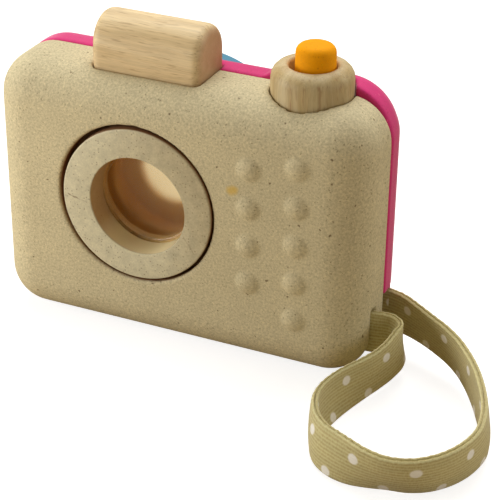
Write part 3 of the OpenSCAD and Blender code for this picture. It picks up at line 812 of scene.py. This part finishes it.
class TOYCAM_OT_stage(bpy.types.Operator):
    """Sets the camera, the pale floor and the soft studio light"""

    bl_idname = "toycam.stage"
    bl_label = "Stage"

    def execute(self, context):
        stage = context.scene.toy_camera.stage
        self.add_camera(context.scene, stage)
        self.add_floor(context.scene, stage)
        for name in ("key", "side", "fill", "back"):
            spot, size, power = (getattr(stage, f"{name}_{part}") for part in ("place", "size", "power"))
            self.add_light(context.scene, f"{name}_light", spot, size, power, stage.aim)
        self.add_sky(context.scene, stage)
        context.scene.view_settings.view_transform = "Standard"
        context.scene.cycles.use_denoising = True
        return {"FINISHED"}

    def add_camera(self, scene, stage):
        lens = bpy.data.cameras.new("view_camera")
        lens.lens = stage.focal_length
        lens.sensor_width = SENSOR_WIDTH
        lens.clip_start = NEAREST
        camera = bpy.data.objects.new("view_camera", lens)
        turn = Matrix.Rotation(stage.camera_turn, 4, "Z")
        tilt = Matrix.Rotation(math.pi / 2 - stage.camera_tilt, 4, "X")
        roll = Matrix.Rotation(stage.camera_roll, 4, "Z")
        camera.matrix_world = Matrix.Translation(stage.camera_place) @ turn @ tilt @ roll
        scene.collection.objects.link(camera)
        scene.camera = camera

    def add_floor(self, scene, stage):
        bm = bmesh.new()
        bmesh.ops.create_circle(bm, cap_ends=True, radius=stage.floor_radius, segments=FLOOR_SIDES)
        floor = bpy.data.objects.new("floor", finished_mesh(bm))
        floor.location.z = -FLOOR_DROP
        floor.data.materials.append(self.floor_paint(stage))
        scene.collection.objects.link(floor)

    def floor_paint(self, stage):
        """White to the eye, a set tone through the lens, and a warm dull one in the light it gives back."""
        paint = bpy.data.materials.new("pale_floor")
        paint.use_nodes = True
        tree = paint.node_tree
        dull = put(tree, "BsdfDiffuse", {"Color": stage.floor_tone}).outputs[0]
        white = put(tree, "Emission", {"Color": WHITE, "Strength": FLOOR_GLOW}).outputs[0]
        bright = put(tree, "BsdfDiffuse", {"Color": FLOOR_GREY}).outputs[0]
        shown = put(tree, "AddShader", {0: white, 1: bright}).outputs[0]
        far = put(tree, "Emission", {"Color": stage.floor_far}).outputs[0]
        path = put(tree, "LightPath").outputs
        given = put(tree, "MixShader", {0: path["Is Transmission Ray"], 1: dull, 2: far}).outputs[0]
        mix = put(tree, "MixShader", {0: path["Is Camera Ray"], 1: given, 2: shown}).outputs[0]
        feed(tree, tree.nodes["Material Output"].inputs["Surface"], mix)
        return paint

    def add_light(self, scene, name, spot, size, power, aim):
        lamp = bpy.data.lights.new(name, "AREA")
        lamp.size = size
        lamp.energy = power
        light = bpy.data.objects.new(name, lamp)
        light.location = spot
        light.rotation_euler = (Vector(aim) - Vector(spot)).to_track_quat("-Z", "Y").to_euler()
        scene.collection.objects.link(light)

    def add_sky(self, scene, stage):
        """White to the eye, and a weaker warm light on the object."""
        world = bpy.data.worlds.new("white_room")
        world.use_nodes = True
        tree = world.node_tree
        even = put(tree, "Background", {"Color": stage.sky_tone, "Strength": stage.sky}).outputs[0]
        white = put(tree, "Background", {"Color": WHITE, "Strength": 1.0}).outputs[0]
        seen = put(tree, "LightPath").outputs["Is Camera Ray"]
        mix = put(tree, "MixShader", {0: seen, 1: even, 2: white}).outputs[0]
        feed(tree, tree.nodes["World Output"].inputs["Surface"], mix)
        scene.world = world


class TOYCAM_OT_wrist_strap(bpy.types.Operator):
    """Sews the strap: a ribbed tape folded once, swept along its loop, with stitches in its groove"""

    bl_idname = "toycam.wrist_strap"
    bl_label = "Wrist strap"

    def execute(self, context):
        sizes, colours = settings_of(context)
        line = self.frames(sizes)
        outline = self.outline(sizes)
        strap = add_piece(
            "wrist_strap_tape", self.tape_mesh(line, outline, sizes), "camera", "cotton_tape",
            [self.tape_finish(sizes, colours)], "wrist_strap")
        stitches = add_piece(
            "wrist_strap_stitches", self.stitch_mesh(line, sizes), "camera", "cotton_tape",
            [self.thread_finish(colours)])
        path = [spot for spot, side, up in line]
        path.append(path[0])
        return {"FINISHED"}

    def frames(self, sizes):
        """Middle, outward side and upward direction of the tape, all along its closed loop."""
        rows = [Vector(row) for row in STRAP_ROUTE]
        steps = sizes.strap_steps
        line = []
        for i in range(len(rows)):
            a, b, c, d = (rows[(i + k) % len(rows)] for k in (-1, 0, 1, 2))
            for t in (step / steps for step in range(steps)):
                bend = (a * 2 - b * 5 + c * 4 - d) * t ** 2 + (b * 3 - a - c * 3 + d) * t ** 3
                line.append((b * 2 + (c - a) * t + bend) / 2)
        body_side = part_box("front_shell")[1].x
        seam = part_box("back_shell")[0].y
        made = []
        for i, row in enumerate(line):
            ahead = (line[(i + 1) % len(line)] - line[i - 1]).xyz
            side = Vector((-ahead.y, ahead.x, 0)).normalized()
            rise = ahead.cross(side).normalized()
            lean = math.radians(row.w)
            spot = row.xyz * MM + Vector((body_side, seam, sizes.tape_width / 2))
            across = side * math.cos(lean) - rise * math.sin(lean)
            made.append((spot, across, rise * math.cos(lean) + side * math.sin(lean)))
        return made

    def outline(self, sizes):
        """Points (across, up, distance from the fold) from the groove, down one face and up the other."""
        half_w, half_t = sizes.tape_width / 2, sizes.tape_thickness / 2
        lip = half_t / 2
        top, low = half_w - lip, half_t - half_w
        quarter = half_t * math.pi / 2
        face = [(GROOVE, half_w - sizes.lip_depth, quarter + top - low + 3 * lip)]
        for step in range(1, LIP_STEPS):
            angle = math.pi * (1 - step / LIP_STEPS)
            spot = lip + lip * LIP_FLATTENED * math.cos(angle), top + lip * math.sin(angle)
            face.append((*spot, quarter + top - low + lip * angle))
        count = round((top - low) / sizes.rib_pitch * RIB_STEPS)
        for step in range(count + 1):
            up = top + (low - top) * step / count
            distance = quarter + up - low
            ease = min(1, (top - up) / MM, (up - low) / MM)
            groove = 0.5 - 0.5 * math.cos(FULL_TURN * distance / sizes.rib_pitch)
            face.append((half_t - sizes.rib_depth * groove * ease, up, distance))
        for step in range(1, FOLD_STEPS):
            angle = math.pi / 2 * step / FOLD_STEPS
            spot = half_t * math.cos(angle), low - half_t * math.sin(angle)
            face.append((*spot, quarter - half_t * angle))
        other = [(-across, up, -distance) for across, up, distance in reversed(face)]
        return [*face, (0, -half_w, 0), *other]

    def tape_mesh(self, line, outline, sizes):
        """The tape's mesh, with its length along U and its distance from the fold along V."""
        lengths = [0.0]
        for i, row in enumerate(line):
            lengths.append(lengths[-1] + (line[(i + 1) % len(line)][0] - row[0]).length)
        rings = []
        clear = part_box("front_shell")[0].y
        for (spot, across, up), run in zip(line, lengths):
            free = min(1, max(0, (clear - spot.y) / sizes.tape_width))
            ring = []
            for x, z, distance in outline:
                level = z / sizes.tape_width * 2
                near_top = max(0, level - LIP_START) / (1 - LIP_START)
                x += free * sizes.tape_bow * (1 - level ** 2)
                long_wave, short_wave = (run / MM * wave for wave in WANDER_WAVES)
                wave = math.sin(long_wave) + math.sin(short_wave + math.copysign(1, x))
                lift = wave / 2 * sizes.lip_wander * near_top
                ring.append(spot + across * x + up * (z + lift))
            rings.append(ring)
        mesh = skinned_mesh("tape", *skin(rings, looped=True))
        sides = len(outline)
        layer = mesh.uv_layers.new(name="tape")
        flat = []
        for i in range(len(rings)):
            for k in range(sides):
                v, w = outline[k][2], outline[(k + 1) % sides][2]
                flat += [lengths[i], v, lengths[i], w, lengths[i + 1], w, lengths[i + 1], v]
        layer.uv.foreach_set("vector", flat)
        mesh.validate()
        return mesh

    def stitch_mesh(self, line, sizes):
        """Short threads that lie one behind the other in the groove between the tape's edges."""
        points, faces = [], []
        run = due = 0.0
        for i, (spot, across, up) in enumerate(line):
            onward = line[(i + 1) % len(line)][0] - spot
            if run >= due:
                due += sizes.stitch_pitch
                self.add_stitch(points, faces, spot, onward.normalized(), across, up, sizes)
            run += onward.length
        return skinned_mesh("stitches", points, faces)

    def add_stitch(self, points, faces, spot, ahead, across, up, sizes):
        """Adds one blunt-ended thread."""
        seat = spot + up * (sizes.tape_width / 2 - sizes.lip_depth + sizes.stitch_radius)
        rings = []
        for step in range(STITCH_RINGS):
            t = 2 * step / (STITCH_RINGS - 1) - 1
            girth = sizes.stitch_radius * math.sqrt(max(BLUNT_STITCH, 1 - t ** 4))
            middle = seat + ahead * t * sizes.stitch_length / 2
            rings.append([
                middle + (across * math.cos(a) + up * math.sin(a)) * girth
                for a in ring_angles(THREAD_SIDES)])
        new_points, new_faces = skin(rings, looped=False)
        faces += [tuple(k + len(points) for k in face) for face in new_faces]
        points += new_points

    def tape_finish(self, sizes, colours):
        values = {
            "Tape": colours.tape, "Shade": colours.tape_shade, "Dot": colours.dot, "Rib": sizes.rib_pitch,
            "Dot size": sizes.dot_size, "Dot pitch": sizes.dot_pitch,
            "Low row": sizes.low_row, "High row": sizes.high_row}
        finish = Finish("cotton_tape", "Woven tape", values, bump=0.35, depth=0.2 * MM, source="UV")
        return finish.done(Sheen_Weight=0.25, Sheen_Roughness=0.5)

    def thread_finish(self, colours):
        finish = dyed("cotton_thread", colours.thread, colours.tape_shade, colours.dot, grain=0.2)
        return finish.done(Sheen_Weight=0.2)


class TOYCAM_OT_shells(bpy.types.Operator):
    """Makes the natural front half and the pink back half, with soft worn edges"""

    bl_idname = "toycam.shells"
    bl_label = "Moulded halves"

    def execute(self, context):
        sizes, colours = settings_of(context)
        raw = bare_wood(colours)
        front = worn_copy("front_shell", sizes.shell_grid, self.front_wear(sizes))
        back = worn_copy("back_shell", sizes.shell_grid, lambda point: sizes.shell_wear)
        add_piece(
            "front_shell_moulded", front, "camera", "pressed_wood_natural",
            [self.natural_finish(sizes, colours), raw], "front_shell")
        add_piece(
            "back_shell_moulded", back, "camera", "pressed_wood_pink",
            [self.pink_finish(colours), raw], "back_shell")
        self.bare_the_inside(front, back, sizes)
        return {"FINISHED"}

    def front_wear(self, sizes):
        """Wears the domes soft, and leaves the edge of the lens recess crisp."""
        axis = middle_of("lens_ring")
        face = self.face_place()

        def passes(point):
            reach = math.hypot(point.x - axis.x, point.z - axis.z) - sizes.recess_radius
            if abs(reach) < MARGIN:
                return 1
            on_domes = point.y < face and point.x > axis.x + sizes.recess_radius
            return sizes.dome_wear if on_domes else sizes.shell_wear

        return passes

    def face_place(self):
        """Where the front's flat face lies along Y, a little behind the ring's front."""
        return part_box("lens_ring")[0].y + MARGIN

    def bare_the_inside(self, front, back, sizes):
        """Gives the walls round the light's way the bare wood."""
        axis = middle_of("lens_ring")
        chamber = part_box("ring_keeper")[1].x - axis.x + MARGIN
        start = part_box("lens_ring")[0].y + sizes.flange_front
        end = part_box("back_shell")[1].y - 3 * MARGIN
        for mesh in (front, back):
            for face in mesh.polygons:
                away = face.center - axis
                inside = math.hypot(away.x, away.z) < chamber and start < face.center.y < end
                face.material_index = int(inside)

    def natural_finish(self, sizes, colours):
        finish = dyed(
            "pressed_wood_natural", colours.natural, colours.natural_fleck, colours.natural_chip,
            cloud=0.12, grain=0.62, flecks=0.36)
        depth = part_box("front_shell")[0].y + STAIN_DEPTH * MM
        start, end = ((x * MM, depth, z * MM) for x, z in STAIN)
        finish.mark(start, end, STAIN_WIDTH * MM, colours.stain, amount=0.7)
        # Painted shade over some scorch: dark brown on the wall of the recess round the lens ring
        finish.paint(self.recess_gap_shade_mask(finish, sizes), colours.burn_and_gap_shade, amount=0.9)
        return finish.done(Specular_IOR_Level=0.3)

    def recess_gap_shade_mask(self, finish, sizes):
        """Mask of the wall of the recess round the lens ring, below its edge, for its dark brown painted shade.
        """
        tree = finish.tree
        reach = axis_distance(tree, finish.vector, middle_of("lens_ring"))
        near = ramp(tree, reach, sizes.recess_radius + 0.6 * MM, sizes.recess_radius + 0.2 * MM)
        face = self.face_place()
        along = put(tree, "SeparateXYZ", {0: finish.vector}).outputs[1]
        deep = ramp(tree, along, face, face + 1.2 * MM)
        return times(tree, near, deep)

    def pink_finish(self, colours):
        finish = dyed("pressed_wood_pink", colours.pink, colours.pink_fleck, colours.pink_chip, grain=0.2)
        return finish.done(Specular_IOR_Level=0.3, Sheen_Weight=0.6, Sheen_Roughness=0.3)


class TOYCAM_OT_viewfinder(bpy.types.Operator):
    """Makes the round-topped viewfinder block, its grain along its length"""

    bl_idname = "toycam.viewfinder"
    bl_label = "Viewfinder block"

    def execute(self, context):
        sizes, colours = settings_of(context)
        finish = solid_wood(
            "rubberwood", colours.block_light, colours.block_dark, colours.block_pore, "XYZ")
        low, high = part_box("viewfinder_block")
        along = put(finish.tree, "SeparateXYZ", {0: finish.vector}).outputs[0]
        for end, inner in ((low.x, low.x + sizes.end_depth), (high.x, high.x - sizes.end_depth)):
            finish.paint(ramp(finish.tree, along, inner, end), colours.block_end, amount=0.7)
        mesh = worn_copy("viewfinder_block", sizes.block_grid, lambda point: sizes.block_wear)
        add_piece(
            "viewfinder_block_worn", mesh, "camera", "rubberwood", [finish.done()], "viewfinder_block")
        return {"FINISHED"}


class TOYCAM_OT_shutter(bpy.types.Operator):
    """Turns the collar and the orange button, and winds the spring under it"""

    bl_idname = "toycam.shutter"
    bl_label = "Shutter button"

    def execute(self, context):
        sizes, colours = settings_of(context)
        self.add_collar(sizes, colours)
        self.add_button(sizes, colours)
        self.add_spring(sizes, colours)
        finish = solid_wood("seat_wood", colours.dowel_light, colours.dowel_dark, colours.block_pore, "XYZ")
        dress_node("spring_seat", finish.done())
        return {"FINISHED"}

    def add_collar(self, sizes, colours):
        low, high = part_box("button_collar")
        radius, tall = (high.x - low.x) / 2, high.z - low.z
        worn = sizes.worn_edge
        corners = [
            (sizes.counterbore, 0, worn), (radius, 0, worn), (radius, tall, sizes.collar_edge),
            (sizes.collar_hole, tall, sizes.collar_lip), (sizes.collar_hole, sizes.counterbore_depth, 0),
            (sizes.counterbore, sizes.counterbore_depth, 0)]
        foot = foot_of("button_collar")
        mesh = turned(corners, sizes, foot, UP)
        finish = solid_wood(
            "rubberwood_turned", colours.collar_light, colours.collar_dark, colours.collar_pore, "ZXY")
        for (x, y), width, amount in COLLAR_STREAKS:
            side = foot + Vector((x * MM, y * MM, 0))
            finish.mark(side, side + UP * tall, width * MM, colours.collar_pore, amount)
        add_piece(
            "button_collar_turned", mesh, "camera", "rubberwood_turned", [finish.done()], "button_collar")

    def add_button(self, sizes, colours):
        low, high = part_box("shutter_button")
        flange, tall = (high.x - low.x) / 2, high.z - low.z
        step, shoulder = sizes.pilot_height, sizes.pilot_height + sizes.button_flange_t
        worn = sizes.worn_edge
        corners = [
            (0, 0, 0), (sizes.pilot_radius, 0, worn), (sizes.pilot_radius, step, 0), (flange, step, worn),
            (flange, shoulder, worn), (sizes.button_radius, shoulder, 0),
            (sizes.button_radius - sizes.button_taper, tall, sizes.button_edge), (0, tall, 0)]
        mesh = turned(corners, sizes, foot_of("shutter_button"), UP)
        finish = dyed("orange_wood", colours.orange, colours.orange_fleck, colours.orange_chip, grain=0.12)
        add_piece(
            "shutter_button_turned", mesh, "button", "orange_wood",
            [finish.done(Specular_IOR_Level=0.15)], "shutter_button")

    def add_spring(self, sizes, colours):
        low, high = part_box("button_spring")
        middle = middle_of("shutter_button")
        wire = sizes.wire / 2
        start, end = low.z + wire, high.z - wire
        steps = sizes.coil_turns * COIL_STEPS
        rings = []
        for i in range(steps + 1):
            turn = FULL_TURN * sizes.coil_turns * i / steps
            out = Vector((math.cos(turn), math.sin(turn), 0))
            spot = Vector((middle.x, middle.y, start + (end - start) * i / steps)) + out * sizes.coil_radius
            rings.append([
                spot + out * wire * math.cos(a) - UP * wire * math.sin(a) for a in ring_angles(WIRE_SIDES)])
        mesh = skinned_mesh("coil", *skin(rings, looped=False))
        spring = add_piece(
            "button_spring_coil", mesh, "camera", "spring_steel", [self.steel_finish(colours)], "button_spring")
        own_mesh(spring)

    def steel_finish(self, colours):
        values = {
            "Light": colours.steel, "Dark": [x * 0.7 for x in colours.steel],
            "Pore": [x * 0.5 for x in colours.steel], "Bands": 0.5, "Pores": 0.2}
        finish = Finish("spring_steel", "Long grain", values, bump=0.05, depth=0.05 * MM)
        return finish.done(Metallic=1.0)


class TOYCAM_OT_lens(bpy.types.Operator):
    """Turns the lens ring, cuts the faceted lens and dresses what holds them"""

    bl_idname = "toycam.lens"
    bl_label = "Lens"

    def execute(self, context):
        sizes, colours = settings_of(context)
        axis = middle_of("lens_ring")
        self.add_ring(sizes, colours, axis)
        self.add_lens(sizes, colours, axis)
        finish = solid_wood("holder_wood", colours.dowel_light, colours.dowel_dark, colours.block_pore, "XYZ")
        holder = finish.done()
        for node in ("lens_retainer", "ring_keeper"):
            dress_node(node, holder)
        return {"FINISHED"}

    def add_ring(self, sizes, colours, axis):
        low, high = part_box("lens_ring")
        flange, deep = (high.x - low.x) / 2, high.y - low.y
        lens_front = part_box("faceted_lens")[0].y - low.y
        worn = sizes.worn_edge
        corners = [
            (sizes.ring_bore, 0, sizes.ring_bore_edge), (sizes.ring_radius, 0, sizes.ring_edge),
            (sizes.ring_radius, sizes.flange_front, 0), (flange, sizes.flange_front, worn),
            (flange, sizes.flange_back, worn), (sizes.hub_radius, sizes.flange_back, 0),
            (sizes.hub_radius, deep, worn), (sizes.seat_radius, deep, worn),
            (sizes.seat_radius, lens_front, 0), (sizes.ring_bore, lens_front, worn)]
        front = Vector((axis.x, low.y, axis.z))
        mesh = turned(corners, sizes, front, BACKWARD)
        self.shrink(mesh, axis, low.y + sizes.flange_front, sizes)
        add_piece(
            "lens_ring_turned", mesh, "lens", "end_grain_wood",
            [self.ring_finish(sizes, colours, axis, low.y)], "lens_ring")

    def shrink(self, mesh, axis, flange_y, sizes):
        """Lets the ring's face shrink out of round, and sets its bore off the middle."""
        for vert in mesh.vertices:
            away = Vector((vert.co.x - axis.x, vert.co.z - axis.z))
            if away.length < sizes.ring_bore + MARGIN:
                vert.co.x += sizes.bore_shift
            elif vert.co.y < flange_y - MARGIN / 10 and away.length > sizes.hub_radius:
                angle = math.atan2(away.y, away.x)
                swell = sizes.ring_oval * math.cos(2 * (angle - WIDEST))
                stretch = 1 + swell / sizes.ring_radius
                vert.co.x = axis.x + away.x * stretch + sizes.ring_shift
                vert.co.z = axis.z + away.y * stretch + sizes.ring_lift

    def ring_finish(self, sizes, colours, axis, front_y):
        """End grain with fine cracks, dark brown painted shade round its side in the gap, brown painted shade
        down its bore, and a pale painted highlight on the bore's lit bottom.
        """
        def beside(x, z, y=front_y):
            return axis.x + x * MM, y, axis.z + z * MM

        values = {
            "Light": colours.ring_light, "Shade": colours.ring_shade, "Pore": colours.ring_pore,
            "Centre": beside(*HEART, y=0)}
        finish = Finish("end_grain_wood", "End grain", values, bump=0.15, depth=0.15 * MM)
        tree = finish.tree
        reach = axis_distance(tree, finish.vector, axis)
        parts = put(tree, "SeparateXYZ", {0: finish.vector}).outputs
        deep = ramp(tree, parts[1], front_y, front_y + 0.8 * MM)
        # Painted shade over some scorch: dark brown on the ring's side, behind its face, where it sits in the
        # gap
        outside_gap_shade = times(tree, calc(tree, "GREATER_THAN", reach, sizes.hub_radius), deep)
        finish.paint(outside_gap_shade, colours.burn_and_gap_shade, amount=0.9)
        # Painted shade: brown down the ring's bore
        inside = times(tree, calc(tree, "LESS_THAN", reach, sizes.hub_radius), deep)
        finish.paint(inside, colours.bore, amount=0.7)
        # Painted light: pale on the bore's lowest part, where the light falls
        lit_lowest_band = ramp(tree, parts[2], axis.z - 0.45 * sizes.ring_bore, axis.z - 0.95 * sizes.ring_bore)
        finish.paint(times(tree, inside, lit_lowest_band), colours.bore_lit_bottom, amount=0.9)
        for start, end, amount in RING_CRACKS:
            finish.mark(beside(*start), beside(*end), CRACK_WIDTH * MM, colours.ring_pore, amount)
        return finish.done()

    def add_lens(self, sizes, colours, axis):
        low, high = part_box("faceted_lens")
        flat_t = high.y - low.y - sizes.facet_height
        bead, half = sizes.bead_radius, sizes.bead_width
        edge = 0.2 * MM
        corners = [
            (0, 0, 0), (bead - half, 0, 0), (bead, -sizes.bead_height, half / 2), (bead + half, 0, 0),
            (sizes.seat_radius, 0, edge), (sizes.seat_radius, flat_t, edge),
            (sizes.facet_base * 1.05, flat_t, 0)]
        front = Vector((axis.x, low.y, axis.z))
        bm = bmesh.new()
        points = [front + Vector((p.x, p.y, 0)) for p in rounded(corners, sizes.arc_steps)]
        spin(bm, points, False, front, BACKWARD, sizes.turning_steps)
        for vert in bm.verts:
            reach = math.hypot(vert.co.x - axis.x, vert.co.z - axis.z)
            if vert.co.y < low.y + MARGIN / 10 and reach < bead + 2 * half:
                vert.co.x += sizes.bore_shift
        self.cut_facets(bm, front + BACKWARD * flat_t, sizes)
        bmesh.ops.recalc_face_normals(bm, faces=bm.faces)
        mesh = finished_mesh(bm, LENS_SHARP_ANGLE)
        for face in mesh.polygons:
            reach = math.hypot(face.center.x - axis.x, face.center.z - axis.z)
            face.material_index = int(reach > sizes.seat_radius - 1.5 * edge)
        lens = add_piece(
            "faceted_lens_cut", mesh, "lens", "clear_lens",
            [self.glass_finish(colours), bare_wood(colours)], "faceted_lens")
        lens.visible_shadow = False

    def cut_facets(self, bm, middle, sizes):
        """Closes the lens's back with six facets and a flat top."""
        rim = [e for e in bm.edges if e.is_boundary]
        loops = []
        for radius, along in ((sizes.facet_base, 0), (sizes.facet_top, sizes.facet_height)):
            loops.append([
                bm.verts.new(middle + Vector((radius * math.cos(a), along, radius * math.sin(a))))
                for a in ring_angles(FACETS)])
        base, top = loops
        foot = [bm.edges.new((base[k - 1], base[k])) for k in range(FACETS)]
        bmesh.ops.triangle_fill(bm, edges=rim + foot, use_beauty=True)
        for k in range(FACETS):
            bm.faces.new((base[k - 1], base[k], top[k], top[k - 1]))
        bm.faces.new(top)
        cut = [e for e in bm.edges if e.verts[0] in top or e.verts[1] in top]
        bmesh.ops.bevel(bm, geom=cut, offset=sizes.facet_edge, segments=2, affect="EDGES", profile=0.5)

    def glass_finish(self, colours):
        """Clear glass with the faint frost of smears in place of the wood's roughness."""
        finish = dyed(
            "clear_lens", colours.glass, colours.glass, colours.glass,
            cloud=0.01, grain=0.01, flecks=0.0, bump=0.01)
        smear = noise(finish.tree, finish.vector, scale=180.0, detail=3.0)
        frost = ramp(finish.tree, smear, 0.45, 0.75, low=0.2, high=0.26)
        feed(finish.tree, finish.shader.inputs["Roughness"], frost)
        return finish.done(Transmission_Weight=1.0, IOR=1.49)


class TOYCAM_OT_eyepiece(bpy.types.Operator):
    """Turns the blue eyepiece with its flared cup"""

    bl_idname = "toycam.eyepiece"
    bl_label = "Eyepiece"

    def execute(self, context):
        sizes, colours = settings_of(context)
        low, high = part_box("eyepiece")
        radius, deep = (high.x - low.x) / 2, high.y - low.y
        middle = middle_of("eyepiece")
        corners = [
            (sizes.peep_radius, 0, sizes.worn_edge), (sizes.spigot_radius, 0, sizes.worn_edge),
            (sizes.spigot_radius, sizes.spigot_length, 0), (radius, sizes.spigot_length, 3 * sizes.worn_edge),
            (radius, deep, sizes.eyecup_edge), (radius - sizes.eyecup_wall, deep, sizes.eyecup_lip),
            (sizes.peep_radius, sizes.peep_length, 2 * sizes.worn_edge)]
        front = Vector((middle.x, low.y, middle.z))
        mesh = turned(corners, sizes, front, BACKWARD)
        dye_ends = high.y - sizes.eyecup_edge
        for face in mesh.polygons:
            away = face.center - middle
            inward = face.normal.x * away.x + face.normal.z * away.z < 0
            in_body = face.center.y < low.y + sizes.spigot_length
            if in_body or inward and face.center.y < dye_ends:
                face.material_index = 2 if face.center.y > low.y + sizes.peep_length else 1
        finish = dyed("blue_wood", colours.blue, colours.blue_fleck, colours.blue_chip)
        cup = solid_wood("cup_wood", colours.block_light, colours.block_dark, colours.block_pore, "YZX")
        add_piece(
            "eyepiece_turned", mesh, "camera", "blue_wood",
            [finish.done(), bare_wood(colours), cup.done()], "eyepiece")
        return {"FINISHED"}


class TOYCAM_OT_dowels(bpy.types.Operator):
    """Gives the hidden dowels their wood"""

    bl_idname = "toycam.dowels"
    bl_label = "Dowels"

    def execute(self, context):
        colours = context.scene.toy_camera.colours
        tones = colours.dowel_light, colours.dowel_dark, colours.block_pore
        dress_node("shell_dowels", solid_wood("dowel_wood_level", *tones, "YZX").done())
        dress_node("block_dowels", solid_wood("dowel_wood_upright", *tones, "ZXY").done())
        return {"FINISHED"}


OPERATORS = (
    TOYCAM_OT_stage, TOYCAM_OT_wrist_strap, TOYCAM_OT_shells, TOYCAM_OT_viewfinder,
    TOYCAM_OT_shutter, TOYCAM_OT_lens, TOYCAM_OT_eyepiece, TOYCAM_OT_dowels,
)


class TOYCAM_PT_sidebar(bpy.types.Panel):
    """Lists the toy camera's pieces, sizes and colours"""

    bl_idname = "TOYCAM_PT_sidebar"
    bl_label = "Toy Camera"
    bl_space_type = "VIEW_3D"
    bl_region_type = "UI"
    bl_category = "Toy Camera"

    def draw(self, context):
        for operator in OPERATORS:
            self.layout.operator(operator.bl_idname)
        settings = context.scene.toy_camera
        for group in (settings.sizes, settings.colours, settings.stage):
            box = self.layout.box()
            for key in group.__annotations__:
                box.prop(group, key)


CLASSES = (ToyCameraSizes, ToyCameraColours, ToyCameraStage, ToyCamera, *OPERATORS, TOYCAM_PT_sidebar)


def register():
    for cls in CLASSES:
        bpy.utils.register_class(cls)
    bpy.types.Scene.toy_camera = PointerProperty(type=ToyCamera)


def unregister():
    del bpy.types.Scene.toy_camera
    for cls in reversed(CLASSES):
        bpy.utils.unregister_class(cls)


def main():
    """Builds every piece."""
    register()
    bpy.ops.toycam.stage()
    bpy.ops.toycam.wrist_strap()
    bpy.ops.toycam.shells()
    bpy.ops.toycam.viewfinder()
    bpy.ops.toycam.shutter()
    bpy.ops.toycam.lens()
    bpy.ops.toycam.eyepiece()
    bpy.ops.toycam.dowels()


if __name__ == "__main__":
    main()
